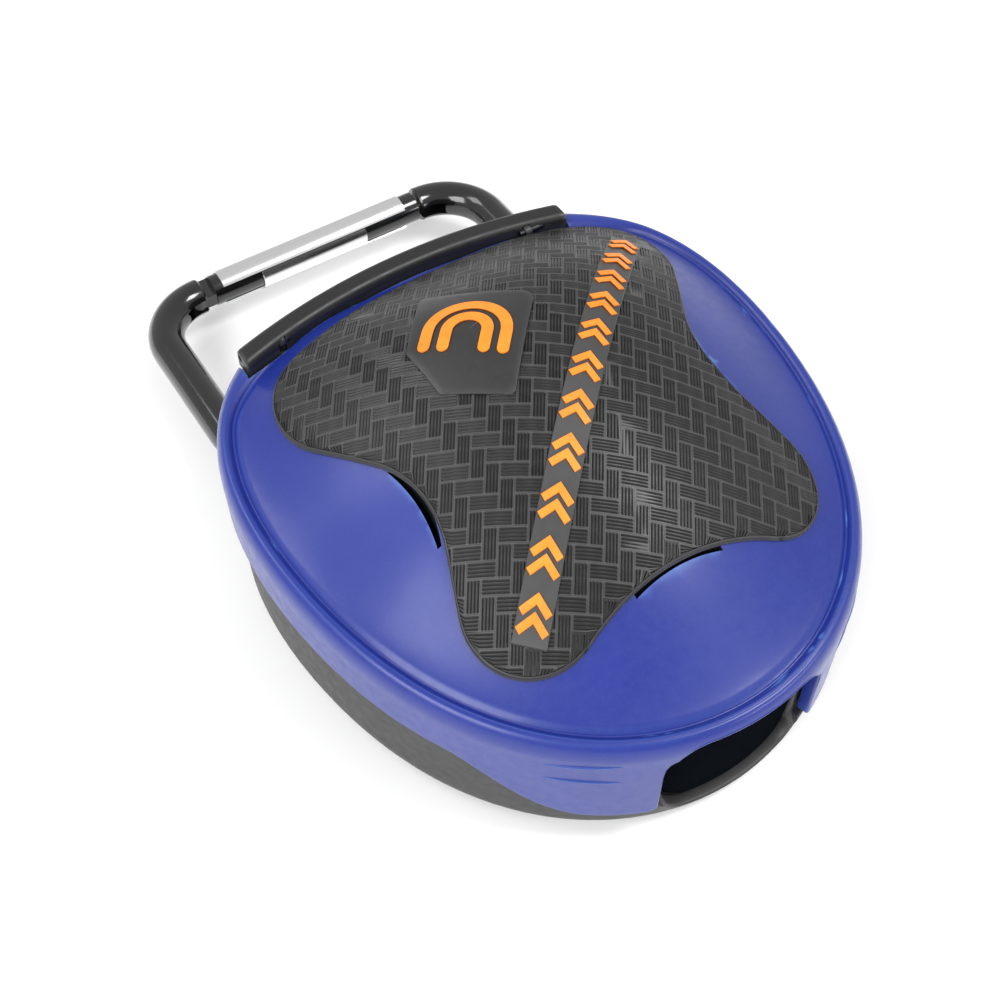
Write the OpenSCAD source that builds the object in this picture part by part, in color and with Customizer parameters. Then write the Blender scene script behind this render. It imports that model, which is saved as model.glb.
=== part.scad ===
// Clamshell mouthguard case: a bowl-shaped base, a domed hinged lid with a four-lobed inlay,
// a snap hook in a lug at the rear, and a mouthguard lying in the tray.
// +Z is up from the resting face, -Y is the thumb recess at the front, +Y is the hinge side.

/* [Case] */
// Width of the lid at its widest
case_w = 90; // [84:1:100]
// Height of the lid's widest line above the resting face, over the middle of the case
rim_z = 27.4; // [26:0.2:29]
// Height of the groove inside the lid's rim bead, over the middle of the case
valley_z = 29.4; // [29:0.2:31]
// Height of the dome above the groove
dome_h = 16.6; // [12:0.2:18]
// Rise toward the hinge, per millimetre of length
wedge = 0.08; // [0.06:0.01:0.09]
// Wall thickness of the lid and the base
wall = 2.0; // [1.6:0.1:2.2]

/* [Parting line] */
// Height of the parting line over the middle of the case
part_z = 19.2; // [18:0.2:20]
// How far the lid's edge dips at the front
front_dip = 8.6; // [7.6:0.2:9]
// Gap between the lid's edge and the base
part_gap = 0.4; // [0.3:0.05:0.5]

/* [Front recess] */
// Width of the thumb recess
recess_w = 26.8; // [22:0.2:30]
// Height of the recess's upper edge in the lid
recess_top = 23.4; // [22:0.2:24]
// Height of the base's rim below the recess
recess_sill = 2.8; // [2.6:0.2:4]

/* [Hinge] */
// Radius of the hinge cover's curve, seen from above
cover_arc_r = 97; // [90:1:110]
// Rearmost point of the cover's middle line
cover_mid_y = 36.4; // [36:0.1:36.8]
// Width of the hinge cover
cover_w = 3.8; // [3.6:0.1:4.0]
// Height of the hinge axis
hinge_z = 33.0; // [32.9:0.1:33.2]
// Radius of the hinge pins
pin_r = 0.55; // [0.5:0.05:0.6]

/* [Snap hook] */
// Thickness of the hook's rod
rod_d = 6.4; // [5.6:0.2:6.6]
// Outside length of the hook, across the case
hook_w = 72.8; // [70:0.2:74]
// Height of the hook's rod above the resting face
hook_z = 8; // [7:0.2:8.4]
// Distance from the hook's front bar to its gate, middle to middle
hook_reach = 41.8; // [40:0.2:46]
// Length of the gate's bright sleeve
sleeve_len = 38; // [34:1:39]

/* [Mouthguard] */
// Outside width of the mouthguard
guard_w = 60; // [54:1:62]
// Height of the mouthguard
guard_h = 14; // [12:1:16]

/* [Hidden] */

$fn = 48;
case_blue = [0.24, 0.28, 0.68];
base_grey = [0.2, 0.2, 0.2];
trim_black = [0.1, 0.1, 0.1];
steel = [0.8, 0.8, 0.82];
mark_orange = [0.97, 0.52, 0.13];
guard_blue = [0.55, 0.7, 0.85];
guard_clear = [0.85, 0.9, 0.95];

segments = 72;             // points round each ring of a shell
step = 360 / segments;
plan_scale = case_w / 90;
plan_terms = [46.6, 5.0, 1.2, 2.6, -0.8, 0.2];  // cosine terms of the outline's radius
crown_power = 1.25;        // above 1 the dome's foot sweeps up softly out of the groove
groove_inset = 2.8;        // from the outline in to the groove
groove_rear = 2.7;         // further in at the rear, where the groove runs in front of the hinge cover
dip_start = 32;            // the parting line begins to dip this far in front of the middle
dip_run = 16;              // and reaches its low stretch this much further on
far = 200;
bury = 0.5;                // how far joined solids of one piece run into each other

hinge_y = cover_mid_y - 4.3;
hook_y = 31.2;
rod_r = rod_d / 2;
ring_half = hook_w / 2 - rod_r;
corner_r = 10;             // middle line of the hook's bends
gate_y = hook_y + hook_reach;
bay_y = 26.0;              // front wall of the bay under the rear, where the hook's bar lies
bay_top = 15.4;

// ---------- plan outline and surfaces ----------

function sum(v, i = 0) = i < len(v) ? v[i] + sum(v, i + 1) : 0;
function outline(a) = plan_scale * sum([for (k = [0:len(plan_terms) - 1]) plan_terms[k] * cos(k * a)]);
function at(a, r, z) = [r * sin(a), -r * cos(a), z];
function plan_y(a, inset) = -(outline(a) - inset) * cos(a);
function blend(t) = let (c = min(1, max(0, t))) c * c * (3 - 2 * c);
function groove(a) = groove_inset + groove_rear * blend((-cos(a) - 0.5) / 0.3);

// Height of the parting line at a distance y along the case
function part_height(y) = part_z + wedge * y - front_dip * blend((-dip_start - y) / dip_run);

// Height of the lid's upper surface over a point of the plan
function dome(x, y, in = 0) =
    let (a = atan2(x, -y), edge = outline(a) - groove(a) - in, u = min(1, norm([x, y]) / edge))
    valley_z + wedge * y + dome_h * pow(1 - u * u, crown_power) - in;

// A closed surface through rings of equal length, with a fan at each end
module loft(rings, first, last) {
    n = len(rings[0]);
    m = len(rings);
    points = [for (r = rings) each r, first, last];
    sides = [for (k = [0:m - 2]) for (i = [0:n - 1]) let (j = (i + 1) % n)
        each [[k * n + i, k * n + j, k * n + n + j], [k * n + i, k * n + n + j, k * n + n + i]]];
    fan_first = [for (i = [0:n - 1]) [m * n, (i + 1) % n, i]];
    fan_last = [for (i = [0:n - 1]) [m * n + 1, (m - 1) * n + i, (m - 1) * n + (i + 1) % n]];
    polyhedron(points, concat(sides, fan_first, fan_last), convexity = 8);
}

// One ring that follows the outline at an inset, with its height a function of the angle
function ring(inset, z) = [for (i = [0:segments - 1]) let (a = i * step) at(a, outline(a) - inset, z)];

// ---------- lid ----------

lid_shoulder = [[0, -2], [0, 0], [0.35, 1.2], [1.0, 2.1], [1.8, 2.35], [groove_inset, 2.0]];
dome_steps = [1, 0.93, 0.85, 0.75, 0.62, 0.48, 0.33, 0.17];

function lid_wall_z(a, t, in) = let (y = plan_y(a, in), low = part_height(y) + part_gap)
    low + (rim_z + wedge * y - 2 - low) * t;
function lid_wall(in) = [for (t = [0, 0.5]) [for (i = [0:segments - 1]) let (a = i * step)
    at(a, outline(a) - in, lid_wall_z(a, t, in))]];
function lid_round(in) = [for (s = lid_shoulder) [for (i = [0:segments - 1]) let (a = i * step)
    at(a, outline(a) - in - s[0] * groove(a) / groove_inset * (in > 0 ? 0.6 : 1),
        rim_z + wedge * plan_y(a, s[0]) + s[1] - in)]];
function lid_dome(in) = [for (u = dome_steps) [for (i = [0:segments - 1]) let (a = i * step,
    r = u * (outline(a) - groove(a) - in - 0.01), p = at(a, r, 0)) [p.x, p.y, dome(p.x, p.y, in)]]];
function reversed(v) = [for (i = [len(v) - 1:-1:0]) v[i]];

module lid_blank() {
    outer = concat(lid_wall(0), lid_round(0), [for (k = [1:len(dome_steps) - 1]) lid_dome(0)[k]]);
    inner = concat(lid_wall(wall), [for (k = [0:4]) lid_round(wall)[k]], lid_dome(wall));
    loft(concat(reversed(outer), inner), [0, 0, dome(0, 0)], [0, 0, dome(0, 0, wall)]);
}

// Straight-sided opening with two rounded corners at its far end
module tab(w, h, r) {
    translate([-w / 2, 0]) square([w, h - r]);
    translate([-w / 2 + r, h - r - bury]) square([w - 2 * r, r + bury]);
    for (s = [-1, 1]) translate([s * (w / 2 - r), h - r]) circle(r);
}

// Cuts a plane shape through the front wall
module through_front() {
    translate([0, -44, 0]) rotate([90, 0, 0]) linear_extrude(20) children();
}

// A vent: the sliver between a chord of the inlay's waist and an arc that runs in under the inlay
module vent(angle, middle, radius, depth, half) {
    rotate([0, 0, angle])
        linear_extrude(far)
            intersection() {
                translate([0, -middle - radius]) circle(radius + depth, $fn = 96);
                translate([-half, -middle]) square([2 * half, depth]);
            }
}

module in_arc(r, z0, z1) {
    translate([0, cover_mid_y - cover_arc_r, z0]) cylinder(r = r, h = z1 - z0, $fn = 180);
}

cover_left = -31.3;        // ends of the hinge cover
cover_right = 27.4;
end_gap = 0.4;             // between the hinge cover's ends and the lid
ear_in = 23.4;
ear_out = 25.6;
ear_r = 1.2;
right_shift = cover_left + cover_right;  // the right ear and pin sit nearer the middle

module hinge_bar(r, x0, x1) {
    translate([x0, hinge_y, hinge_z]) rotate([0, 90, 0]) cylinder(r = r, h = x1 - x0);
}

side_vent_y = -9.2;        // the side vents lie at the inlay's waists

// Knuckle under the hinge cover, on a web that drops and runs forward to the lid's inside
ear_web = 0.8;
ear_back = 0.35;           // the web starts this far in front of the hinge axis
module lid_ear() {
    ear_w = ear_out - ear_in;
    low = hinge_z - 4.2;
    hinge_bar(ear_r, ear_in, ear_out);
    translate([ear_in, hinge_y - ear_back, low]) cube([ear_w, ear_web, hinge_z - 0.7 - low]);
    translate([ear_in, hinge_y - 7, low]) cube([ear_w, 7, 1.6]);
    translate([ear_in, hinge_y - 7, low]) cube([ear_w, 3, 3]);
}

module lid_shell() color(case_blue) {
    difference() {
        union() {
            difference() {
                lid_blank();
                through_front() tab(recess_w, recess_top, 6);
                difference() {
                    translate([cover_left - end_gap, 20, 0])
                        cube([cover_right - cover_left + 2 * end_gap, 40, 60]);
                    in_arc(cover_arc_r - cover_w / 2 - 0.3, -1, 61);
                }
                translate([0, side_vent_y, valley_z - 4]) {
                    vent(-90, 25.6, 14, 2.0, 6.5);
                    vent(90, 25.6, 14, 2.0, 6.5);
                }
                translate([0, 0, valley_z - 4]) vent(0, 35.5, 24, 1.8, 7.2);
            }
            translate([right_shift, 0, 0]) lid_ear();
            mirror([1, 0, 0]) lid_ear();
        }
        hinge_bar(pin_r + 0.06, -ear_out - 1, ear_out + 1);
    }
}

// Snap tongue inside the lid's front lip, over the recess
module lid_latch() color(case_blue) {
    intersection() {
        linear_extrude(60) difference() {
            plan(wall + 0.1);
            plan(wall + 1.5);
        }
        translate([-7, -60, 19.6]) cube([14, 20, 3.6]);
    }
}

// ---------- base ----------

base_inset = 0.9;          // the lid overhangs the base by this much
foot = [[12, 0], [4.6, 0], [3.0, 0.5], [2.0, 1.6], [1.4, 3.2], [1.1, 5.2]];
lip_h = 2.4;               // upstand that locates the lid, at the front and sides
lip_gap = 0.35;

function base_top(a, inset, rise) = at(a, outline(a) - inset, part_height(plan_y(a, inset)) + rise);
function lip(a) = 0.1 + lip_h * (1 - min(1, max(0, (plan_y(a, 0) + 6) / 12)));
function rim_ring(inset, lifted) = [for (i = [0:segments - 1]) let (a = i * step)
    base_top(a, inset, lifted ? lip(a) : 0)];

module base_blank() {
    outer = concat([for (f = foot) ring(f[0], f[1])], [rim_ring(base_inset, false)]);
    step_in = wall + lip_gap;
    inner = [rim_ring(step_in, false), rim_ring(step_in, true), rim_ring(step_in + 1.1, true),
        ring(3.8, 5.2), ring(4.4, 3.4), ring(6.6, wall + 0.3), ring(12, wall)];
    loft(concat(reversed(inner), reversed(outer)), [0, 0, wall], [0, 0, 0]);
}

module base_solid() {
    outer = concat([for (f = foot) ring(f[0] + 0.4, f[1] + 0.2)], [rim_ring(base_inset + 0.4, false)]);
    loft(reversed(outer), [0, 0, part_z], [0, 0, 0.2]);
}

module bay(grow) {
    translate([-60, bay_y - grow, -1]) cube([120, 60, bay_top + 1 + grow]);
}

module base_shell() color(base_grey) {
    difference() {
        union() {
            base_blank();
            intersection() {
                base_solid();
                difference() {
                    bay(wall);
                    translate([-60, 0, -2]) cube([120, 60, 3]);
                }
            }
            hinge_tower();
            recess_frame();
        }
        bay(0);
        through_front() translate([0, recess_sill + 30]) mirror([0, 1]) tab(recess_w, 30, 7);
    }
}

// Upstand inside the lid's front wall, which leaves a U-shaped rim round the recess
frame_side = 2.2;
module recess_frame() {
    intersection() {
        linear_extrude(60) difference() {
            plan(wall + lip_gap + 0.05);
            plan(4.4);
        }
        translate([-recess_w / 2 - frame_side, -60, 3]) cube([recess_w + 2 * frame_side, 20, 18.2]);
    }
}

// Rear wall that carries the hinge cover
tower_top = hinge_z - 2.1;
module hinge_tower() {
    intersection() {
        difference() {
            in_arc(cover_arc_r + 1.5, bay_top + 0.5, tower_top);
            in_arc(cover_arc_r - 0.3, bay_top, tower_top + 1);
        }
        translate([cover_left + 0.3, 20, 0]) cube([cover_right - cover_left - 0.6, 40, 60]);
    }
}

module plan(inset) {
    polygon([for (i = [0:segments - 1]) let (a = i * step, r = outline(a) - inset)
        [r * sin(a), -r * cos(a)]]);
}

// ---------- tray and thumb panel ----------

tray_inset = 5.8;
tray_rear = bay_y - wall - 0.4;
tray_wall = 1.4;
tray_floor = 2.5;
function tray_r(a, inset) = let (r = outline(a) - tray_inset - inset)
    cos(a) < 0 ? min(r, (tray_rear - inset) / -cos(a)) : r;
function tray_ring(inset, z) = [for (i = [0:segments - 1]) let (a = i * step) at(a, tray_r(a, inset), z)];
function tray_edge(inset) = [for (i = [0:segments - 1]) let (a = i * step, p = at(a, tray_r(a, inset), 0))
    [p.x, p.y, max(8.5, part_height(p.y) - 1.5)]];

module inner_tray() color(trim_black) {
    outer = [tray_ring(5, tray_floor), tray_ring(3, tray_floor + 0.5),
        tray_ring(1.2, tray_floor + 2), tray_edge(0)];
    inner = [tray_edge(tray_wall), tray_ring(1.2 + tray_wall, tray_floor + 3),
        tray_ring(4.4, tray_floor + 1.7), tray_ring(6, tray_floor + tray_wall)];
    difference() {
        loft(concat(reversed(inner), reversed(outer)), [0, 0, tray_floor + tray_wall], [0, 0, tray_floor]);
        translate([-15.5, -60, 6]) cube([31, 17, 20]);
    }
}

// Smooth plate behind the recess, with a raised face for the thumb
face_w = 25.2;
module thumb_panel() color(trim_black) {
    upright_plate(4.6, 6.4, 29.2, 3.5, 21.4);
    intersection() {
        upright_plate(3.0, 4.7, face_w, 3.3, 19.2);
        through_front() translate([0, 3.3 + 30]) mirror([0, 1]) tab(face_w, 30, 6.4);
    }
}

// Part of the front wall's curve between two insets
module upright_plate(outer, inner, w, z0, z1) {
    intersection() {
        linear_extrude(40) difference() {
            plan(outer);
            plan(inner);
        }
        translate([-w / 2, -60, z0]) cube([w, 20, z1 - z0]);
    }
}

// ---------- hinge ----------

module hinge_cover() color(trim_black) {
    difference() {
        union() {
            intersection() {
                translate([0, cover_mid_y - cover_arc_r, 0])
                    rotate_extrude($fn = 240)
                        cover_profile();
                translate([cover_left, 20, 0]) cube([cover_right - cover_left, 40, 60]);
            }
        }
        for (s = [0, 1]) translate([right_shift * (1 - s), 0, 0]) mirror([s, 0, 0]) {
            hinge_bar(ear_r + 0.15, ear_in - 0.2, ear_out + 0.2);
            translate([ear_in - 0.2, hinge_y - 10, hinge_z - 10])
                cube([ear_out - ear_in + 0.4, 10 + ear_web - ear_back + 0.15, 10]);
            translate([ear_in - 0.2, hinge_y - 10, hinge_z - 10])
                cube([ear_out - ear_in + 0.4, 9, 10 + ear_back + 0.1]);
            hinge_bar(pin_r + 0.01, ear_in - 0.5, 32);
        }
    }
}

module cover_profile() {
    edge = 1.1;
    low = tower_top + 0.02;
    high = hinge_z + 1.7;
    inner = cover_arc_r - cover_w / 2;
    translate([inner, low]) square([cover_w, high - low - edge]);
    translate([inner + edge, high - edge - bury]) square([cover_w - 2 * edge, edge + bury]);
    for (x = [edge, cover_w - edge]) translate([inner + x, high - edge]) circle(edge);
}

module hinge_pin(side) color(steel)
    translate([right_shift * (1 - side), 0, 0]) mirror([side, 0, 0]) hinge_bar(pin_r, ear_in - 0.4, 31.1);
module hinge_pin_left() hinge_pin(1);
module hinge_pin_right() hinge_pin(0);

// ---------- inlay, badge and stripe ----------

function unit(v) = v / norm(v);
// Points of an arc of radius r that rounds the corner b between a and c
function corner(a, b, c, r, n) = let (u = unit(a - b), v = unit(c - b), half = acos(u * v) / 2,
    o = b + unit(u + v) * r / sin(half), s = b + u * r / tan(half) - o, e = b + v * r / tan(half) - o,
    from = atan2(s.y, s.x), turn = (atan2(e.y, e.x) - from + 540) % 360 - 180)
    [for (i = [0:n]) o + r * [cos(from + turn * i / n), sin(from + turn * i / n)]];
function rounded(p, radii, n = 7) = [for (i = [0:len(p) - 1])
    each corner(p[(i + len(p) - 1) % len(p)], p[i], p[(i + 1) % len(p)], radii[i], n)];
function mirrored(v) = [for (i = [len(v) - 1:-1:0]) [-v[i].x, v[i].y]];

// The inlay's outline: front waist, front lobe and side waist, then the rear lobes and the rear middle
inlay_front = [[35.4, -44.2], [21.9, -8.7]];
inlay_rear = [[44.8, 28.4], [0, 31.9], [-40.9, 23.4]];
inlay_corners = concat([[0, -31.4]], inlay_front, inlay_rear, mirrored(inlay_front));
inlay_radii = [47.5, 9.7, 18.3, 13.4, 35.8, 13.4, 18.3, 9.7];

// Adds points along the long sides of an outline, so that it can follow the dome
function divided(p, longest) = [for (i = [0:len(p) - 1]) let (a = p[i], b = p[(i + 1) % len(p)],
    n = ceil(norm(b - a) / longest)) for (k = [0:n - 1]) a + (b - a) * k / n];

// A thin closed patch that lies on the dome, from one height above it to another
module dome_patch(points, middle, low, high, fractions) {
    function row(f, lift) = [for (p = points) let (q = middle + (p - middle) * f)
        [q.x, q.y, dome(q.x, q.y) + lift]];
    under = [for (f = fractions) row(f, low)];
    over = [for (f = fractions) row(f, high)];
    loft(concat(over, reversed(under)),
        [middle.x, middle.y, dome(middle.x, middle.y) + high],
        [middle.x, middle.y, dome(middle.x, middle.y) + low]);
}

// A thin closed bar that lies on the dome along a path of plan points
module dome_bar(path, half, low, high) {
    last = len(path) - 1;
    function side(i) = let (d = unit(path[min(last, i + 1)] - path[max(0, i - 1)])) half * [-d.y, d.x];
    function lifted(p, lift) = [p.x, p.y, dome(p.x, p.y) + lift];
    rings = [for (i = [0:last]) [lifted(path[i] - side(i), low), lifted(path[i] - side(i), high),
        lifted(path[i] + side(i), high), lifted(path[i] + side(i), low)]];
    loft(rings, lifted(path[0], (low + high) / 2), lifted(path[last], (low + high) / 2));
}

inlay_low = 0.2;
inlay_high = 1.0;
module lid_inlay() color(base_grey)
    dome_patch(divided(rounded(inlay_corners, inlay_radii), 3.2), [0, -4], inlay_low, inlay_high,
        [0.12, 0.25, 0.38, 0.5, 0.62, 0.74, 0.87, 1]);

badge = [-6.5, 7];
badge_corners = [[-6.5, 20], [6, 8.5], [-7, -6], [-15, 0.5], [-15, 9.5]];
badge_radii = [0.8, 2, 0.8, 0.8, 0.8];
badge_low = inlay_high + 0.15;
badge_high = badge_low + 0.3;
module badge_plate() color(trim_black)
    dome_patch(divided(rounded(badge_corners, badge_radii, 4), 3), badge, badge_low, badge_high,
        [0.33, 0.66, 1]);

// A plain horseshoe, the plan of a mouthguard's arch
emblem_turn = -42;
emblem_leg = 4;
function turned(p, a) = [p.x * cos(a) - p.y * sin(a), p.x * sin(a) + p.y * cos(a)];
module badge_emblem() color(mark_orange)
    for (r = [5.6, 2.9]) {
        arch = concat([[r, -emblem_leg], [r, -emblem_leg / 2]],
            [for (a = [0:180 / 14:180]) r * [cos(a), sin(a)]],
            [[-r, -emblem_leg / 2], [-r, -emblem_leg]]);
        dome_bar([for (p = arch) badge + turned(p, emblem_turn)], 0.85, badge_high + 0.1, badge_high + 0.3);
    }

// A smooth band from the front left lobe to the rear right lobe, with plain chevrons on it
band_start = [-22.5, -33];
band_end = [30.5, 18.7];
band_half = 2.4;
band_low = inlay_high + 0.2;
band_high = band_low + 0.2;
band_dir = unit(band_end - band_start);
band_len = norm(band_end - band_start);
mark_count = 11;            // pairs of chevrons
function band_point(s) = band_start + s * band_dir;
module stripe_band() color(base_grey)
    dome_bar([for (i = [0:26]) band_point(band_len * i / 26)], band_half, band_low, band_high);
module chevron(s) {
    across = 1.9 * [-band_dir.y, band_dir.x];
    ahead = 0.9 * band_dir;
    tip = band_point(s) + ahead;
    ends = [band_point(s) - ahead - across, band_point(s) - ahead + across];
    dome_bar([ends[0], (ends[0] + tip) / 2, tip, (tip + ends[1]) / 2, ends[1]], 0.5,
        band_high + 0.1, band_high + 0.25);
}
module stripe_marks() color(mark_orange) {
    pitch = band_len / mark_count;
    for (k = [0:mark_count - 1]) for (half = [-1, 1]) chevron(pitch * (k + 0.5) + 1.1 * half);
}

// ---------- snap hook ----------

module hook_lug() color(base_grey) {
    lug_half = 8;
    lug_r = rod_r + 1.9;
    slack = 0.03;
    difference() {
        union() {
            translate([-lug_half, hook_y, hook_z]) rotate([0, 90, 0]) cylinder(r = lug_r, h = 2 * lug_half);
            translate([-lug_half, bay_y + slack, hook_z])
                cube([2 * lug_half, hook_y + lug_r - bay_y - slack, bay_top - hook_z - slack]);
        }
        translate([-far / 2, hook_y, hook_z]) rotate([0, 90, 0]) cylinder(r = rod_r + 0.08, h = far);
    }
}

module rod_x(x0, x1, y) {
    translate([x0, y, hook_z]) rotate([0, 90, 0]) cylinder(r = rod_r, h = x1 - x0);
}

module rod_bend(x, y, from) {
    translate([x, y, hook_z]) rotate([0, 0, from])
        rotate_extrude(angle = 90) translate([corner_r, 0]) circle(rod_r);
}

pivot_x = -24;
nose_x = 22.6;
fork_x = -22.6;
fork_r = 2.9;
tongue_half = 1.2;
fork_half = tongue_half + 0.08;
side_slot = 27.4;          // the slots in the rod's inner side end this far from the middle

module hook_body() color(trim_black) {
    bend_x = ring_half - corner_r;
    difference() {
        union() {
            rod_x(-bend_x, bend_x, hook_y);
            rod_bend(-bend_x, hook_y + corner_r, 180);
            rod_bend(bend_x, hook_y + corner_r, 270);
            rod_bend(bend_x, gate_y - corner_r, 0);
            rod_bend(-bend_x, gate_y - corner_r, 90);
            for (s = [-1, 1]) translate([s * ring_half, hook_y + corner_r, hook_z])
                rotate([-90, 0, 0]) cylinder(r = rod_r, h = hook_reach - 2 * corner_r);
            rod_x(nose_x, bend_x, gate_y);
            rod_x(-bend_x, fork_x, gate_y);
        }
        translate([pivot_x, gate_y, hook_z - fork_half]) {
            cylinder(r = fork_r, h = 2 * fork_half);
            translate([0, -fork_r, 0]) cube([5, 2 * fork_r, 2 * fork_half]);
            translate([0, -6, 0]) cube([5, 6, 2 * fork_half]);
        }
        translate([pivot_x, gate_y, hook_z - 2.6]) cylinder(r = 0.81, h = 5.2, $fn = 24);
        for (x = [-side_slot, nose_x - 1]) translate([x, gate_y - rod_r - 1, hook_z - tongue_half])
            cube([side_slot - nose_x + 1, 3, 2 * tongue_half]);
    }
}

module gate_pin() color(steel)
    translate([pivot_x, gate_y, hook_z - 2.55]) cylinder(r = 0.8, h = 5.1, $fn = 24);

module gate_spring() color(steel)
    for (k = [0:1]) translate([pivot_x, gate_y, hook_z + 0.45 + 0.42 * k])
        rotate_extrude($fn = 32) translate([1.25, 0]) circle(0.19, $fn = 16);

core_x0 = -20.6;
core_x1 = 21.8;
module gate_core() color(trim_black) {
    difference() {
        union() {
            translate([core_x0, gate_y, hook_z]) rotate([0, 90, 0]) cylinder(r = 2.8, h = core_x1 - core_x0);
            translate([pivot_x, gate_y, hook_z - tongue_half]) cylinder(r = 2.6, h = 2 * tongue_half);
            translate([pivot_x, gate_y - 2.4, hook_z - tongue_half]) cube([4.5, 4.8, 2 * tongue_half]);
        }
        translate([pivot_x, gate_y, hook_z - 3]) cylinder(r = 0.86, h = 6, $fn = 24);
        translate([pivot_x, gate_y, hook_z + 0.2]) cylinder(r = 1.55, h = 1.2);
    }
}

// Bright tube over the gate, slotted along its inner side
slot_half = 2.1;
module gate_sleeve() color(steel) {
    difference() {
        translate([-sleeve_len / 2, gate_y, hook_z]) rotate([0, 90, 0]) cylinder(r = rod_r, h = sleeve_len);
        translate([-far / 2, gate_y, hook_z]) rotate([0, 90, 0]) cylinder(r = 2.85, h = far);
        translate([-far / 2, gate_y - 5, hook_z - slot_half]) cube([far, 5, 2 * slot_half]);
    }
}

module gate_insert() color(steel) {
    intersection() {
        difference() {
            translate([-11.4, gate_y, hook_z]) rotate([0, 90, 0]) cylinder(r = rod_r, h = 23);
            translate([-far / 2, gate_y, hook_z]) rotate([0, 90, 0]) cylinder(r = 2.85, h = far);
        }
        translate([-20, gate_y - 5, hook_z - slot_half + 0.1]) cube([40, 5, 2 * slot_half - 0.2]);
    }
}

// ---------- mouthguard ----------

guard_z = tray_floor + tray_wall + 0.05;
guard_y = -10;
guard_band = 14;
leg_len = 22;
module arch(grow, h) {
    r1 = guard_w / 2 + grow;
    r0 = guard_w / 2 - guard_band - grow;
    linear_extrude(h) difference() {
        union() {
            circle(r1, $fn = 96);
            translate([-r1, 0]) square([2 * r1, leg_len + grow]);
        }
        circle(r0, $fn = 72);
        translate([-r0, 0]) square([2 * r0, far]);
    }
}

module guard_shell() color(guard_blue)
    translate([0, guard_y, guard_z]) difference() {
        arch(0, guard_h);
        translate([0, 0, 2.4]) arch(-1.6, far);
        difference() {
            translate([0, 0, guard_h - 4]) cylinder(r = guard_w / 2 - guard_band + 1.7, h = far);
            translate([-far / 2, far / 4, 0]) cube([far, far, far]);
        }
    }

module guard_liner() color(guard_clear)
    translate([0, guard_y, guard_z + 2.45]) difference() {
        arch(-1.65, 7);
        translate([0, 0, 1.4]) arch(-3.0, far);
    }

base_shell();
inner_tray();
thumb_panel();
hook_lug();
hinge_cover();
hinge_pin_left();
hinge_pin_right();
lid_shell();
lid_latch();
lid_inlay();
badge_plate();
badge_emblem();
stripe_band();
stripe_marks();
hook_body();
gate_pin();
gate_spring();
gate_core();
gate_sleeve();
gate_insert();
guard_shell();
guard_liner();
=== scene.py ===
"""Looks of a clamshell mouthguard case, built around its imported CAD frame.

Lengths are millimetres, like the CAD source's, and mesh_object() turns them into metres.
+Z is up from the resting face, -Y is the thumb recess at the front, +Y is the hinge side.
"""

import math

import bmesh
import bpy
import numpy as np
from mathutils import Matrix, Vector


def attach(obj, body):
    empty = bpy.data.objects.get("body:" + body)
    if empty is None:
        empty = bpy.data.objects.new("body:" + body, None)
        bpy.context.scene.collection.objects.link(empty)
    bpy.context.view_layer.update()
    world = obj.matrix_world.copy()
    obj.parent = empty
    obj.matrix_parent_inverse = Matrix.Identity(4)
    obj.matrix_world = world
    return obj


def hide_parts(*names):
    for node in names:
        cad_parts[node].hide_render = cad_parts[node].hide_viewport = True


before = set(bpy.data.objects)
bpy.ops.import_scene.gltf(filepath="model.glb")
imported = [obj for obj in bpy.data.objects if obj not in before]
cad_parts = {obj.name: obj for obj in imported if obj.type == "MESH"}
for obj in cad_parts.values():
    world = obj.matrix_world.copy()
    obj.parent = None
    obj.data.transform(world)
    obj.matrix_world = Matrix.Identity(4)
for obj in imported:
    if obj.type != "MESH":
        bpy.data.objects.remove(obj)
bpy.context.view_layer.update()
MM = 0.001

# ---------- driving dimensions, the same as the CAD source's ----------

PLAN_TERMS = [46.6, 5.0, 1.2, 2.6, -0.8, 0.2]
RIM_Z = 27.4
VALLEY_Z = 29.4
DOME_H = 16.6
CROWN_POWER = 1.25
WEDGE = 0.08
WALL = 2.0
PART_Z = 19.2
FRONT_DIP = 8.6
DIP_START = 32.0
DIP_RUN = 16.0
PART_GAP = 0.4
GROOVE_INSET = 2.8
GROOVE_REAR = 2.7
RECESS_HALF = 13.4
RECESS_TOP = 23.4
RECESS_SILL = 2.8
RECESS_CORNER = 6.0
SILL_CORNER = 7.0
SILL_FLAT = RECESS_HALF - SILL_CORNER
SILL_TOP = RECESS_SILL + SILL_CORNER
INLAY_LOW = 0.2
INLAY_HIGH = 1.0
HINGE_Y = 32.1
HINGE_Z = 33.0
COVER_ARC_R = 97.0
COVER_MID_Y = 36.4
COVER_W = 3.8
COVER_LEFT = -31.3
COVER_RIGHT = 27.4
END_GAP = 0.4
PIN_R = 0.55
TOWER_TOP = HINGE_Z - 2.1
BASE_INSET = 0.9
LIP_GAP = 0.35
LIP_H = 2.4
TRAY_FLOOR = 2.5
HOOK_Y = 31.2
HOOK_Z = 8.0
ROD_R = 3.2
RING_HALF = 33.2
CORNER_R = 10.0
GATE_Y = 73.0
BAY_Y = 26.0
BAY_TOP = 15.4
BAND_START = np.array([-22.5, -33.0])
BAND_END = np.array([30.5, 18.7])
BAND_HALF = 2.4

# The knuckles, drawn inside the CAD source's: the side that each is on and its shift along X
EAR_IN = 23.9
EAR_OUT = 25.1
EAR_R = 0.9
EARS = ((1, COVER_LEFT + COVER_RIGHT), (-1, 0))


# ---------- surfaces of the case ----------

def columns(*parts):
    """Rows of points from their coordinates side by side."""
    return np.column_stack(parts)


def polar(a, r):
    """Plan points at angles from the front and distances from the middle."""
    return columns(r * np.sin(a), -r * np.cos(a))


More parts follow.
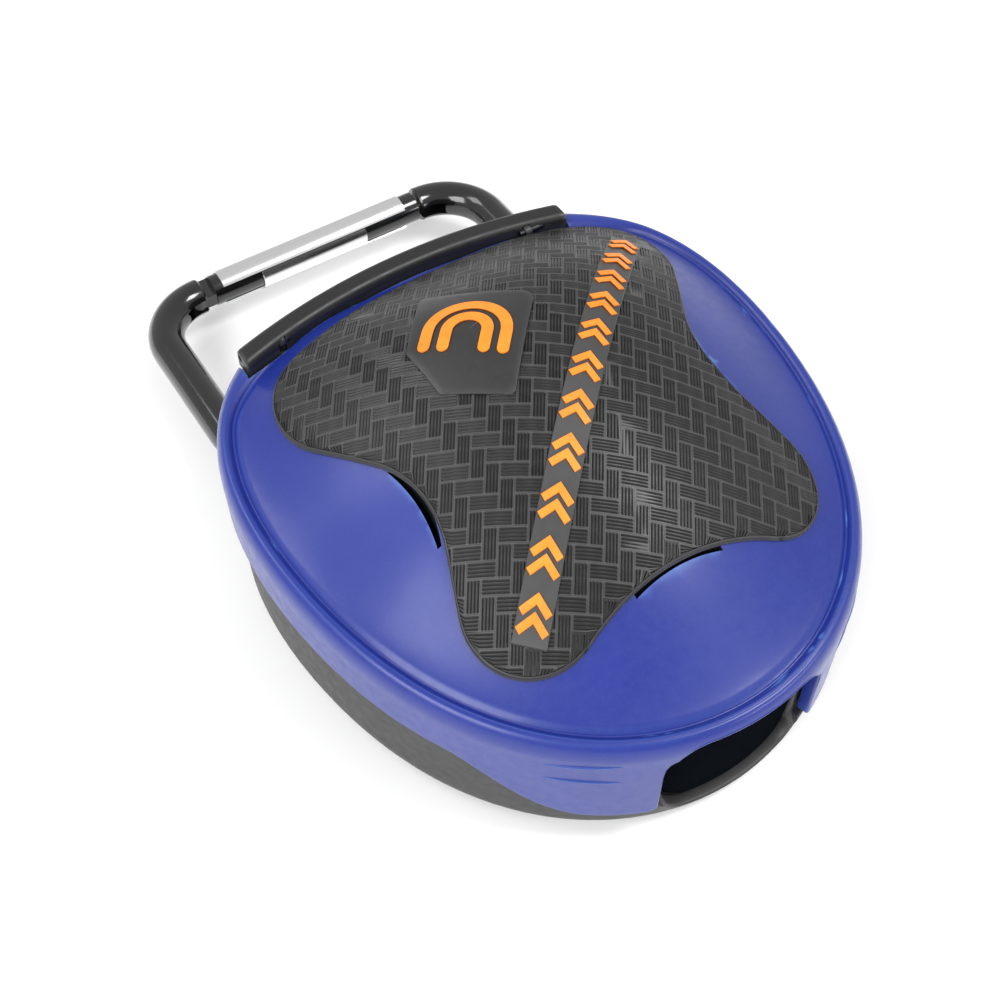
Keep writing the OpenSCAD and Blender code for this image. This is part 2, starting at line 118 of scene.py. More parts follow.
def outline(a):
    """Radius of the lid's plan outline at angle a from the front."""
    return sum(term * np.cos(k * a) for k, term in enumerate(PLAN_TERMS))


def plan_at(a, inset):
    """Plan points at angles from the front, at an inset from the outline."""
    return polar(a, outline(a) - inset)


def smooth_step(t):
    t = np.clip(t, 0, 1)
    return t * t * (3 - 2 * t)


def groove(a):
    """Distance from the outline in to the groove, which runs in front of the hinge cover at the rear."""
    return GROOVE_INSET + GROOVE_REAR * smooth_step((-np.cos(a) - 0.5) / 0.3)


def part_height(y):
    """Height of the parting line."""
    return PART_Z + WEDGE * y - FRONT_DIP * smooth_step((-DIP_START - y) / DIP_RUN)


def dome(x, y, inset=0.0):
    """Height of the lid's upper surface, or of its underside at an inset."""
    a = np.arctan2(x, -y)
    edge = outline(a) - groove(a) - inset
    u = np.minimum(1, np.hypot(x, y) / edge)
    return VALLEY_Z + WEDGE * y + DOME_H * (1 - u * u) ** CROWN_POWER - inset


def on_dome(points, lift):
    """Plan points set on the dome, lifted by a height."""
    p = np.asarray(points, float)
    return columns(p[:, 0], p[:, 1], dome(p[:, 0], p[:, 1]) + lift)


def catmull(points, per_span):
    """A smooth curve through rows of numbers."""
    p = np.asarray(points, float)
    p = np.vstack([2 * p[0] - p[1], p, 2 * p[-1] - p[-2]])
    out = []
    for i in range(1, len(p) - 2):
        for t in np.linspace(0, 1, per_span, endpoint=False):
            out.append(0.5 * (2 * p[i] + (p[i + 1] - p[i - 1]) * t
                              + (2 * p[i - 1] - 5 * p[i] + 4 * p[i + 1] - p[i + 2]) * t ** 2
                              + (3 * p[i] - p[i - 1] - 3 * p[i + 1] + p[i + 2]) * t ** 3))
    return np.array(out + [p[-2]])


# ---------- mesh helpers ----------

def mesh_object(name, shape, look=None):
    """An object from a pair of vertices and faces."""
    mesh = bpy.data.meshes.new(name)
    mesh.from_pydata([[float(c) * MM for c in v] for v in shape[0]], [], [list(f) for f in shape[1]])
    if look:
        mesh.materials.append(look)
    made = bpy.data.objects.new(name, mesh)
    bpy.context.scene.collection.objects.link(made)
    return made


def face_outward(mesh, weld=False):
    """Turns the faces outward; weld first joins doubled vertices."""
    work = bmesh.new()
    work.from_mesh(mesh)
    if weld:
        bmesh.ops.remove_doubles(work, verts=work.verts, dist=1e-6)
        bmesh.ops.dissolve_degenerate(work, edges=work.edges, dist=1e-7)
    bmesh.ops.recalc_face_normals(work, faces=work.faces)
    work.to_mesh(mesh)
    work.free()


def piece(name, shape, look, body, replaced=(), sharp=32):
    """A closed mesh that rides on a body and takes its finish from a slot; shape can be an object."""
    made = shape if isinstance(shape, bpy.types.Object) else mesh_object(name, shape, look)
    made.name = name
    mesh = made.data
    face_outward(mesh, weld=True)
    mesh.shade_smooth()
    mesh.set_sharp_from_angle(angle=math.radians(sharp))
    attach(made, body)
    if replaced:
        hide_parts(*replaced)


def loft(rings, ends):
    """Vertices and faces of a surface through equal rings, closed by a fan to a point at each end."""
    n, m = len(rings[0]), len(rings)
    faces = [(k * n + i, k * n + (i + 1) % n, (k + 1) * n + (i + 1) % n, (k + 1) * n + i)
             for k in range(m - 1) for i in range(n)]
    for top, base in ((m * n, 0), (m * n + 1, (m - 1) * n)):
        faces += [(top, base + (i + 1) % n, base + i) for i in range(n)]
    return np.vstack([np.asarray(r, float) for r in [*rings, *([end] for end in ends)]]), faces


def joined(parts):
    """Several vertex and face lists as one."""
    verts, faces, start = [], [], 0
    for v, f in parts:
        verts.append(np.asarray(v, float))
        faces += [tuple(start + i for i in face) for face in f]
        start += len(v)
    return np.vstack(verts), faces


def circle(radius, count):
    """Both coordinates of points round a circle."""
    t = np.linspace(0, 2 * np.pi, count, endpoint=False)
    return radius * np.cos(t), radius * np.sin(t)


def upright_ring(x, radius, count):
    """A circle about the hinge axis at a place along it."""
    y, z = circle(radius, count)
    return columns(np.full(count, x), HINGE_Y + y, HINGE_Z + z)


def cut(target, cutter, operation="DIFFERENCE"):
    """Applies a boolean with a cutter, which is then removed."""
    face_outward(target.data)
    face_outward(cutter.data)
    step = target.modifiers.new("cut", "BOOLEAN")
    step.object = cutter
    step.operation = operation
    step.solver = "EXACT"
    step.material_mode = "TRANSFER"
    graph = bpy.context.evaluated_depsgraph_get()
    result = bpy.data.meshes.new_from_object(target.evaluated_get(graph))
    target.modifiers.clear()
    old = target.data
    target.data = result
    bpy.data.meshes.remove(old)
    bpy.data.objects.remove(cutter)


def prism(points, z0, z1):
    """A straight-sided closed solid over a plan outline."""
    p = np.asarray(points, float)
    n = len(p)
    verts = np.vstack([columns(p, np.full(n, z)) for z in (z0, z1)])
    faces = [(i, (i + 1) % n, n + (i + 1) % n, n + i) for i in range(n)]
    return verts, faces + [tuple(range(n))[::-1], tuple(range(n, 2 * n))]


def tube(sections):
    """A closed solid through sections given in space, with a fan over each end's middle."""
    return loft(sections, (np.mean(sections[0], 0), np.mean(sections[-1], 0)))


def box(low, high):
    """A cutter for booleans."""
    (x0, y0, z0), (x1, y1, z1) = low, high
    return mesh_object("cutter", prism([[x0, y0], [x1, y0], [x1, y1], [x0, y1]], z0, z1))


def bore(radius, x0, x1):
    """A cutter round the hinge axis."""
    return mesh_object("cutter", tube([upright_ring(x, radius, 40) for x in (x0, x1)]))


def rounded(points, radii, count=12):
    """A polygon with each corner turned into an arc."""
    pts = [np.array(q, float) for q in points]
    out = []
    for i, b in enumerate(pts):
        a, c, r = pts[i - 1], pts[(i + 1) % len(pts)], radii[i]
        u, v = unit(np.array([a - b, c - b]))
        half = math.acos(float(np.clip(u @ v, -1, 1))) / 2
        o = b + (u + v) / np.linalg.norm(u + v) * r / math.sin(half)
        s, e = b + u * r / math.tan(half) - o, b + v * r / math.tan(half) - o
        start = math.atan2(s[1], s[0])
        turn = (math.atan2(e[1], e[0]) - start + 3 * math.pi) % (2 * math.pi) - math.pi
        out += [o + r * np.array([math.cos(start + turn * t), math.sin(start + turn * t)])
                for t in np.linspace(0, 1, count)]
    return np.array(out)


def turned(points, degrees):
    """Plan points turned about the middle."""
    c, s = math.cos(math.radians(degrees)), math.sin(math.radians(degrees))
    return points @ np.array([[c, s], [-s, c]])


def spaced(points, gap, closed=True):
    """A line divided again into equal steps of about gap."""
    q = np.vstack([points, points[:1]]) if closed else np.asarray(points, float)
    run = np.concatenate([[0], np.cumsum(np.linalg.norm(np.diff(q, axis=0), axis=1))])
    t = np.linspace(0, run[-1], max(4, int(round(run[-1] / gap))) + 1)
    out = columns(np.interp(t, run, q[:, 0]), np.interp(t, run, q[:, 1]))
    return out[:-1] if closed else out


def unit(rows):
    """Rows scaled to a length of one."""
    return rows / np.linalg.norm(rows, axis=1)[:, None]


def inward(points, distance):
    """A closed outline moved towards its inside."""
    t = unit(np.roll(points, -1, 0) - np.roll(points, 1, 0))
    x, y = points[:, 0], points[:, 1]
    turn = np.sign(np.sum(x * np.roll(y, -1) - np.roll(x, -1) * y))
    return points + distance * turn * columns(-t[:, 1], t[:, 0])


def dome_slab(points, middle, rim, low, inner_steps=12):
    """A closed patch on the dome. rim lists (inset, lift) rows from the edge's foot to its flat top."""
    rows = [on_dome(inward(points, d), lift) for d, lift in rim]
    flat = inward(points, rim[-1][0])
    m = np.asarray(middle, float)
    steps = np.linspace(1, 0, inner_steps, endpoint=False)
    rows += [on_dome(m + (flat - m) * f, rim[-1][1]) for f in steps[1:]]
    under = [on_dome(m + (points - m) * f, low) for f in steps]
    return loft(under[::-1] + rows, (on_dome([m], low)[0], on_dome([m], rim[-1][1])[0]))


def dome_bar(path, half, low, high, edge=0.06):
    """A thin bar on the dome along a path, mitred where the path turns; half is one width or a list."""
    q = np.asarray(path, float)
    ahead = unit(np.vstack([q[1:] - q[:-1], q[-1:] - q[-2:-1]]))
    mean = unit(ahead + np.vstack([ahead[:1], ahead[:-1]]))
    stretch = 1 / np.clip((mean * ahead).sum(1), 0.4, 1)
    side = columns(-mean[:, 1], mean[:, 0]) * stretch[:, None]
    sections = []
    for point, out, w in zip(q, side, np.broadcast_to(half, len(q))):
        e = min(edge, w / 2)
        steps = [(-w, low), (-w, high - e), (-w + e, high), (w - e, high), (w, high - e), (w, low)]
        sections.append(np.vstack([on_dome([point + out * o], lift) for o, lift in steps]))
    return tube(sections)


def blunt(count, half, length):
    """Half widths along a bar of a given length with half-round ends."""
    t = np.linspace(0, length, count)
    near = np.minimum(t, length - t)
    return half * np.sqrt(np.clip(1 - (1 - np.minimum(1, near / half)) ** 2, 0.03, 1))


# ---------- procedural materials ----------

class Shader:
    """Short names for the nodes that the materials share. Positions are in millimetres."""

    def __init__(self, name):
        self.material = bpy.data.materials.new(name)
        self.material.use_nodes = True
        self.tree = self.material.node_tree
        self.tree.nodes.clear()
        self.bsdf = self.node("BsdfPrincipled")
        self.fill(self.node("OutputMaterial"), {"Surface": self.bsdf.outputs[0]})
        where = self.node("TexCoord").outputs["Object"]
        self.place = self.node("Mapping", Vector=where, Scale=(1000, 1000, 1000)).outputs["Vector"]

    def node(self, kind, **inputs):
        """A new node with its inputs filled; an input's name has _ for each space."""
        made = self.tree.nodes.new("ShaderNode" + kind)
        self.fill(made, inputs)
        return made

    def fill(self, node, inputs):
        """Sets inputs to sockets, colours, vectors or numbers."""
        for name, value in inputs.items():
            socket = node.inputs[name.replace("_", " ")]
            if isinstance(value, bpy.types.NodeSocket):
                self.tree.links.new(value, socket)
            elif socket.type == "RGBA":
                socket.default_value = (*value, 1)
            else:
                socket.default_value = value

    def set(self, **inputs):
        self.fill(self.bsdf, inputs)

    def stretched(self, scale):
        return self.node("Mapping", Vector=self.place, Scale=scale).outputs["Vector"]

    def noise(self, size, detail=3.0, rough=0.5, place=None):
        """Noise with features about size millimetres across."""
        return self.node("TexNoise", Vector=place or self.place, Scale=1 / size, Detail=detail,
                         Roughness=rough).outputs["Fac"]

    def remap(self, value, low, high, from_low=0.3, from_high=0.7):
        return self.node("MapRange", Value=value, From_Min=from_low, From_Max=from_high, To_Min=low,
                         To_Max=high).outputs["Result"]

    def mix(self, factor, first, second):
        """Colour between two, each a colour or a socket."""
        node = self.node("Mix")
        node.data_type = "RGBA"
        self.fill(node, {"Factor": factor, "A": first, "B": second})
        return node.outputs["Result"]

    def lighter_convex_edges(self, low, high):
        """0 on flat stretches and 1 along convex edges."""
        return self.remap(self.node("NewGeometry").outputs["Pointiness"], 0, 1, low, high)

    def bump(self, heights):
        """Bumps from (value, depth in millimetres) pairs, one after another."""
        under = {}
        for value, depth in heights:
            node = self.node("Bump", Strength=1, Distance=depth * MM, Height=value, **under)
            under = {"Normal": node.outputs["Normal"]}
        self.set(**under)


def grey(value):
    return (value, value, value)


def moulded(name, colour, light, dark, rough, grain, grain_depth, edge=None):
    """Moulded plastic: slow colour drift, a fine spark-eroded grain, roughness variation and a lighter edge
    colour on convex edges, which on the lid's bead and the inlay's ridges is a painted highlight.
    """
    s = Shader(name)
    drift = s.mix(s.remap(s.noise(14), 0, 1), dark, colour)
    fleck = s.mix(s.remap(s.noise(0.5, 4), 0, 0.45, 0.45, 0.75), drift, light)
    # Convex edges take the lighter edge colour: a painted highlight on the lid's bead and the inlay's ridges.
    if edge:
        fleck = s.mix(s.lighter_convex_edges(0.51, 0.60), fleck, edge)
    s.set(Base_Color=fleck, Roughness=s.remap(s.noise(1.6, 4), rough - 0.05, rough + 0.06))
    s.bump([(s.noise(grain, 2), grain_depth), (s.noise(9, 1), 0.05)])
    return s


def blue_plastic(name, edge=None):
    return moulded(name, (0.011, 0.026, 0.225), (0.016, 0.034, 0.250), (0.008, 0.021, 0.205),
                   0.36, 0.28, 0.003, edge)


def lid_plastic():
    # The light blue edge colour is a painted highlight along the lid's bead.
    s = blue_plastic("lid_blue_satin", (0.050, 0.130, 0.42))
    s.set(Coat_Weight=0.3, Coat_Roughness=0.18, Specular_IOR_Level=0.36)
    return s.material


def base_plastic():
    return moulded("base_grey_matt", (0.025, 0.025, 0.026), grey(0.046), (0.020, 0.020, 0.021),
                   0.5, 0.3, 0.006, grey(0.07)).material


def inlay_plastic():
    # The lighter edge colour is a painted highlight along the weave's ridges.
    s = moulded("inlay_twill_grey", grey(0.014), grey(0.022), grey(0.011),
                0.40, 0.2, 0.002, (0.075, 0.075, 0.074))
    s.set(Specular_IOR_Level=0.36)
    return s.material


def smooth_plastic():
    return moulded("badge_smooth_grey", grey(0.022), grey(0.029), grey(0.018),
                   0.4, 0.12, 0.0015, grey(0.06)).material


def trim_plastic():
    return moulded("trim_black_satin", grey(0.010), grey(0.016), grey(0.008),
                   0.40, 0.2, 0.002, grey(0.03)).material


def tray_plastic():
    # Near-black colour and no specular reflection: painted shade from the lid over black plastic, on the
    # thumb panel and the tray.
    s = moulded("tray_blue_black_painted_shade", (0.0036, 0.0046, 0.0064), (0.0062, 0.0075, 0.0098),
                (0.0028, 0.0036, 0.0050), 0.26, 0.6, 0.001)
    s.set(Specular_IOR_Level=0.0)
    return s.material


def vent_shade_plastic():
    # Near-black colour for the vents' cut walls: painted shade of the lid's dark inside.
    return moulded("vent_painted_shade", (0.006, 0.008, 0.011), (0.012, 0.014, 0.018), (0.004, 0.005, 0.007),
                   0.5, 0.3, 0.003).material


def print_orange():
    """Pad print: slightly uneven ink with a soft sheen."""
    s = Shader("print_orange")
    ink = s.mix(s.remap(s.noise(2.5, 5), 0, 1), (0.88, 0.225, 0.010), (0.95, 0.275, 0.018))
    speck = s.mix(s.remap(s.noise(0.22, 2), 0, 0.5, 0.62, 0.75), ink, (0.70, 0.16, 0.012))
    s.set(Base_Color=speck, Roughness=s.remap(s.noise(0.8), 0.40, 0.52))
    s.bump([(s.noise(0.18, 2), 0.003)])
    return s.material


def hook_enamel():
    """Gloss black enamel: orange peel, faint rubbing and small scuffs."""
    s = Shader("hook_black_enamel")
    scuffs = s.remap(s.noise(3.2, 8, 0.72), 0, 1, 0.6, 0.72)
    s.set(Base_Color=s.mix(scuffs, (0.004, 0.004, 0.0045), (0.017, 0.017, 0.018)),
          Roughness=s.remap(s.noise(2.0, 6, 0.65), 0.10, 0.22), Coat_Weight=0.6, Coat_Roughness=0.05)
    s.bump([(s.noise(1.3, 1), 0.006), (s.noise(0.12, 1), 0.0006)])
    return s.material


def bright_metal(name, colour, rough, along=(0.03, 4.0, 4.0)):
    """Drawn and polished metal with fine lines along its length."""
    s = Shader(name)
    lines = s.noise(0.5, 5, 0.6, s.stretched(along))
    s.set(Base_Color=s.mix(s.remap(lines, 0, 1), colour, tuple(0.86 * c for c in colour)), Metallic=1.0,
          Roughness=s.remap(lines, rough - 0.04, rough + 0.07))
    s.bump([(lines, 0.0025), (s.noise(4, 1), 0.004)])
    return s.material


def guard_rubber():
    s = moulded("guard_blue_rubber", (0.030, 0.055, 0.33), (0.045, 0.075, 0.38), (0.022, 0.042, 0.27),
                0.42, 0.4, 0.004, (0.05, 0.09, 0.42))
    s.set(Subsurface_Weight=0.15, Subsurface_Scale=1.5 * MM)
    return s.material


def guard_gel():
    s = moulded("guard_clear_gel", (0.62, 0.68, 0.76), (0.72, 0.77, 0.84), (0.52, 0.60, 0.70),
                0.24, 0.7, 0.006)
    s.set(Subsurface_Weight=0.5, Subsurface_Scale=3 * MM, Transmission_Weight=0.25, IOR=1.42)
    return s.material


def floor_paint():
    s = Shader("floor_pale")
    pale = s.mix(s.remap(s.noise(60, 3), 0, 1), grey(0.94), grey(0.96))
    s.set(Base_Color=pale, Roughness=0.7)
    return s.material


BLUE = lid_plastic()
LATCH_BLUE = blue_plastic("latch_blue_satin").material
GREY = base_plastic()
TWILL = inlay_plastic()
SMOOTH = smooth_plastic()
BLACK = trim_plastic()
TRAY = tray_plastic()
VENT_SHADE = vent_shade_plastic()
ORANGE = print_orange()
ENAMEL = hook_enamel()
CHROME = bright_metal("gate_bright", (0.90, 0.90, 0.91), 0.16)
STEEL = bright_metal("pin_steel", (0.62, 0.62, 0.64), 0.3)
BLUED = bright_metal("pin_blued_steel", (0.05, 0.05, 0.055), 0.4)
RUBBER = guard_rubber()
GEL = guard_gel()


# ---------- edges of the front recess ----------

FRONT_TABLE = np.radians(np.linspace(0, 60, 1201))


def angle_at(x):
    """Plan angle at which the front of the outline has this distance from the middle plane."""
    return np.interp(x, outline(FRONT_TABLE) * np.sin(FRONT_TABLE), FRONT_TABLE)


def arc_points(cx, cz, r, start, end, count):
    """(x, z) points of an arc between two angles in degrees, both ends included."""
    t = np.radians(np.linspace(start, end, count))
    return [(cx + r * math.cos(v), cz + r * math.sin(v)) for v in t]


def around(half, first_free, height, step=1.2):
    """Angles and heights of a whole edge: half is its front part as (x, z) points from the middle outward."""
    rest = np.radians(np.arange(math.degrees(first_free) + step, 180 - step / 2, step))
    a = np.concatenate([[angle_at(x) for x, _ in half], rest])
    far_y = -outline(rest) * np.cos(rest)
    z = np.concatenate([[z for _, z in half], height(far_y)])
    back = height(np.array([outline(np.pi)]))
    return np.concatenate([-a[:0:-1], a, [np.pi]]), np.concatenate([z[:0:-1], z, back])


def lid_edge():
    """The lid's lower edge, with the recess's rounded opening in its front."""
    flare = 1.4
    foot = part_height(-52.0) + PART_GAP
    inner = RECESS_HALF - RECESS_CORNER
    half = [(x, RECESS_TOP) for x in np.linspace(0, inner, 7)[:-1]]
    half += arc_points(inner, RECESS_TOP - RECESS_CORNER, RECESS_CORNER, 90, 0, 12)
    half += [(RECESS_HALF, z) for z in np.linspace(RECESS_TOP - RECESS_CORNER, foot + flare, 6)[1:-1]]
    half += arc_points(RECESS_HALF + flare, foot + flare, flare, 180, 270, 8)
    return around(half, angle_at(RECESS_HALF + flare), lambda y: part_height(y) + PART_GAP)


def blended(angles, window=5):
    """A running mean over a closed list of angles that wraps once round."""
    n = len(angles)
    padded = np.concatenate([angles[-window - 1:-1] - 2 * np.pi, angles[:-1], angles[:window] + 2 * np.pi])
    kernel = np.ones(2 * window + 1) / (2 * window + 1)
    return np.convolve(padded, kernel, "same")[window:window + n - 1]


class Wall:
    """The lid's upright wall over its lower edge: rows of points round the whole plan."""

    def __init__(self, angles, heights):
        self.a = angles[:-1]
        self.z = heights[:-1]
        arc = np.concatenate([[0], np.cumsum(np.hypot(*np.diff(plan_at(angles, 0), axis=0).T))])
        s = np.concatenate([[arc[0] - (arc[-1] - arc[-2])], arc])
        z = np.concatenate([[heights[-2]], heights])
        ds, dz = s[2:] - s[:-2], z[2:] - z[:-2]
        length = np.hypot(ds, dz) + 1e-9
        self.normal = columns(-dz / length, ds / length)
        self.top_a = blended(angles)

    def edge_row(self, inset, distance):
        """The edge moved by a distance into the wall, at an inset from the outline."""
        a = self.a + self.normal[:, 0] * distance / outline(self.a)
        return columns(plan_at(a, inset), self.z + self.normal[:, 1] * distance), a


# ---------- lid ----------

# The bead's profile as (inset, height over the rim's datum): wall, crest, groove and the dome's foot
BEAD = catmull([[0, -2.2], [0, -0.3], [0.35, 1.2], [1.05, 2.15], [1.75, 2.3], [2.25, 2.0], [2.55, 1.66],
                [2.8, 1.62], [2.95, 1.75]], 4)
CREST = int(np.argmax(BEAD[:, 1]))
BEAD_LOW = BEAD[0, 1]
LIP_R = 0.4
CUT_TOP = 60.0

# (turn, distance from the middle, radius, depth, half length, shift along Y) of each vent
VENTS = ((-90, 25.6, 14, 2.0, 6.5, -9.2), (90, 25.6, 14, 2.0, 6.5, -9.2), (0, 35.5, 24, 1.8, 7.2, 0))
VENT_BOW = 0.8


def bead_inset(height):
    """How far the bead's rising side has turned in, at a height over the rim's datum."""
    return np.interp(height, BEAD[:CREST + 1, 1], BEAD[:CREST + 1, 0])


def bead_rows(a, rim, low):
    """Rows over the bead, whose rising side starts from a height of its own in each column."""
    widen = groove(a) / GROOVE_INSET
    rise = (BEAD[1:CREST + 1, 1] - BEAD_LOW) / (BEAD[CREST, 1] - BEAD_LOW)
    rows = []
    for share in rise:
        z = low + (rim + BEAD[CREST, 1] - low) * share
        rows.append(columns(plan_at(a, bead_inset(z - rim) * widen), z))
    for inset, height in BEAD[CREST + 1:]:
        p = plan_at(a, inset * widen)
        rows.append(columns(p, RIM_Z + WEDGE * p[:, 1] + height))
    return rows


def build_lid():
    """Outer and inner skins, each from the lower edge up the wall and over the dome."""
    wall = Wall(*lid_edge())
    top_a = wall.top_a
    rim = RIM_Z - WEDGE * outline(top_a) * np.cos(top_a)
    outer, inner = [], []
    for phi in np.radians(np.linspace(90, 0, 8)):
        turn_in, distance = LIP_R * (1 - math.cos(phi)), LIP_R * (1 - math.sin(phi))
        outer.append(wall.edge_row(turn_in + bead_inset(wall.z - rim), distance)[0])
        inner.append(wall.edge_row(WALL - turn_in, distance)[0])
    for is_outer, rows, depth in ((True, outer, 0.0), (False, inner, WALL)):
        start, start_a = wall.edge_row(depth, LIP_R)
        low = np.maximum(rim + BEAD_LOW - depth, start[:, 2] + 0.1)
        for w in np.linspace(0, 1, 21)[1:]:
            z = start[:, 2] + (low - start[:, 2]) * w
            inset = bead_inset(z - rim) if is_outer else depth
            rows.append(columns(plan_at(start_a + (top_a - start_a) * smooth_step(w), inset), z))
        if is_outer:
            rows += bead_rows(top_a, rim, low)
        edge = outline(top_a) - groove(top_a) - depth
        for u in np.concatenate([np.linspace(0.985, 0.9, 8), np.linspace(0.9, 0.06, 44)[1:]]):
            p = polar(top_a, u * edge)
            z = dome(p[:, 0], p[:, 1], depth)
            rows.append(columns(p, z if is_outer else np.maximum(z, low)))
    ends = ([0, 0, dome(0.0, 0.0)], [0, 0, dome(0.0, 0.0, WALL)])
    shell = mesh_object("lid_work", loft(outer[::-1] + inner, ends), BLUE)
    cut(shell, rear_cutter())
    for vent in VENTS:
        cut(shell, vent_cutter(*vent))
    piece("lid_cover", shell, BLUE, "lid", ["lid_shell"], sharp=38)


def vent_cutter(turn, middle, radius, depth, half, shift):
    """Between a shallow arc and one that runs in under the inlay."""
    reach = radius + depth
    x = np.linspace(-half, half, 31)
    near = -middle + VENT_BOW * (1 - (x / half) ** 2)
    far = np.maximum(-middle - radius + np.sqrt(reach * reach - x * x), near + 0.05)
    plan = np.vstack([columns(x, far), columns(x, near)[::-1]])
    plan = turned(plan, turn) + np.array([0, shift])
    # The cutter's near-black material passes to the vent's cut walls as painted shade.
    return mesh_object("vent_cutter", prism(plan, VALLEY_Z - 4, CUT_TOP), VENT_SHADE)


def cover_arc(radius, x):
    """Y of an arc about the hinge cover's centre."""
    return COVER_MID_Y - COVER_ARC_R + np.sqrt(radius * radius - x * x)


def rear_cutter():
    """The gap in the lid's rear, from just in front of the hinge cover."""
    x = np.linspace(COVER_LEFT - END_GAP, COVER_RIGHT + END_GAP, 61)
    front = columns(x, cover_arc(COVER_ARC_R - COVER_W / 2 - 0.3, x))
    plan = np.vstack([front, [[x[-1], CUT_TOP], [x[0], CUT_TOP]]])
    return mesh_object("rear_cutter", prism(plan, -1, CUT_TOP + 1), BLUE)


def build_grip_ridges():
    """Two fine ridges on the wall at each side of the recess."""
    count = 40
    share = np.linspace(0, 1, count)
    size = 0.1 + 0.9 * np.sin(np.linspace(0, np.pi, count)) ** 0.5
    ridges = []
    for side in (-1, 1):
        angles = np.radians(np.linspace(32.5, 20, count)) * side
        for height, slope in ((21.5, 0.4), (17.9, -0.5)):
            sections = []
            for a, w, t in zip(angles, size, share):
                out, up = circle(w, 12)
                sections.append(columns(plan_at(a, 0.12 - 0.34 * out), height + slope * t + 0.3 * up))
            ridges.append(tube(sections))
    piece("grip_ridges", joined(ridges), BLUE, "lid")


def build_knuckles():
    """The eyes that carry the hinge pins, each on a web from under the lid."""
    low = HINGE_Z - 4.2
    web = [[-7, low], [0.2, low], [0.45, low + 0.3], [0.45, HINGE_Z - 0.7], [-0.35, HINGE_Z - 0.7],
           [-0.35, low + 2.2], [-0.9, low + 1.6], [-3.6, low + 1.6], [-4.2, low + 2.6], [-4.6, low + 3],
           [-7, low + 3]]
    bevel = 0.15
    parts = []
    for side, shift in EARS:
        x0, x1 = sorted((side * EAR_IN + shift, side * EAR_OUT + shift))
        rings = ((x0, EAR_R - bevel), (x0 + bevel, EAR_R), (x1 - bevel, EAR_R), (x1, EAR_R - bevel))
        parts.append(tube([upright_ring(x, r, 32) for x, r in rings]))
        verts, faces = prism(web + np.array([HINGE_Y, 0]), x0, x1)
        parts.append((verts[:, [2, 0, 1]], faces))
    piece("hinge_knuckles", joined(parts), BLACK, "lid")


build_lid()
build_grip_ridges()
build_knuckles()


# ---------- inlay, badge and stripe ----------

INLAY_FRONT = [[35.4, -44.2], [21.9, -8.7]]
INLAY_CORNERS = ([[0, -31.4]] + INLAY_FRONT + [[44.8, 28.4], [0, 31.9], [-40.9, 23.4]]
                 + [[-x, y] for x, y in INLAY_FRONT[::-1]])
INLAY_RADII = [47.5, 9.7, 18.3, 13.4, 35.8, 13.4, 18.3, 9.7]
WEAVE_TURN = -35
TOW = 2.0
BADGE = [-6.5, 7]
MARK_TURN = -42
MARK_COUNT = 11


def weave_blocks(edge):
    """Raised tows of a two-over-two twill, two cells long with four grooves each, kept inside an edge."""
    u, v = turned(np.eye(2), WEAVE_TURN)
    along = np.array([0.02, 0.15, 0.26, TOW, 2 * TOW - 0.26, 2 * TOW - 0.15, 2 * TOW - 0.02])
    open_at = np.array([0, 0, 1, 1, 1, 0, 0])
    grooves = [g + step for g in (0.325, 0.775, 1.225, 1.675) for step in (-0.135, 0, 0.135)]
    across = np.array([0.02] + grooves + [TOW - 0.02])
    grooved = np.array([0] + [0, 1, 0] * 4 + [0])
    rows, cols = len(along), len(across)
    cells = [(i, k) for i in range(-30, 31) for k in range(-30, 31)]
    starts = [(TOW * i * u + TOW * k * v, u, v) for i, k in cells if (i + k) % 4 == 0]
    starts += [(TOW * (i + 1) * u + TOW * k * v, v, -u) for i, k in cells if (i + k) % 4 == 2]
    centres = np.array([start + TOW * a + TOW / 2 * b for start, a, b in starts])
    wanted = within(centres, edge) | (nearest(centres, edge)[1] < 1.6)
    starts = [block for block, keep in zip(starts, wanted) if keep]
    quads = [(r * cols + c, r * cols + c + 1, (r + 1) * cols + c + 1, (r + 1) * cols + c)
             for r in range(rows - 1) for c in range(cols - 1)]
    loop = list(range(cols)) + [r * cols + cols - 1 for r in range(1, rows)]
    loop += [(rows - 1) * cols + c for c in range(cols - 2, -1, -1)]
    loop += [r * cols for r in range(rows - 2, 0, -1)]
    top, n = rows * cols, len(loop)
    skirt = [(loop[i], top + i, top + (i + 1) % n, loop[(i + 1) % n]) for i in range(n)]
    shape = quads + skirt + [tuple(range(top, top + n))]
    plan = np.array([(start + along[:, None, None] * a + across[None, :, None] * b).reshape(-1, 2)
                     for start, a, b in starts])
    flat = plan.reshape(-1, 2)
    outside = ~within(flat, edge)
    flat[outside] = nearest(flat[outside], edge)[0]
    lift = INLAY_HIGH - 0.13 * open_at[:, None] * grooved[None, :]
    upper = on_dome(flat, np.tile(lift.reshape(-1), len(starts))).reshape(len(starts), top, 3)
    lower = upper[:, loop].copy()
    lower[:, :, 2] -= 0.45
    verts = np.concatenate([upper, lower], axis=1)
    faces = [tuple(k * (top + n) + i for i in face) for k in range(len(starts)) for face in shape]
    return verts.reshape(-1, 3), faces


def within(points, ring):
    """Which plan points lie inside a closed outline."""
    nxt = np.roll(ring, -1, 0)
    x, y = points[:, :1], points[:, 1:]
    crosses = (ring[:, 1] > y) != (nxt[:, 1] > y)
    at = ring[:, 0] + (y - ring[:, 1]) * (nxt[:, 0] - ring[:, 0]) / (nxt[:, 1] - ring[:, 1] + 1e-12)
    return (crosses & (x < at)).sum(1) % 2 == 1


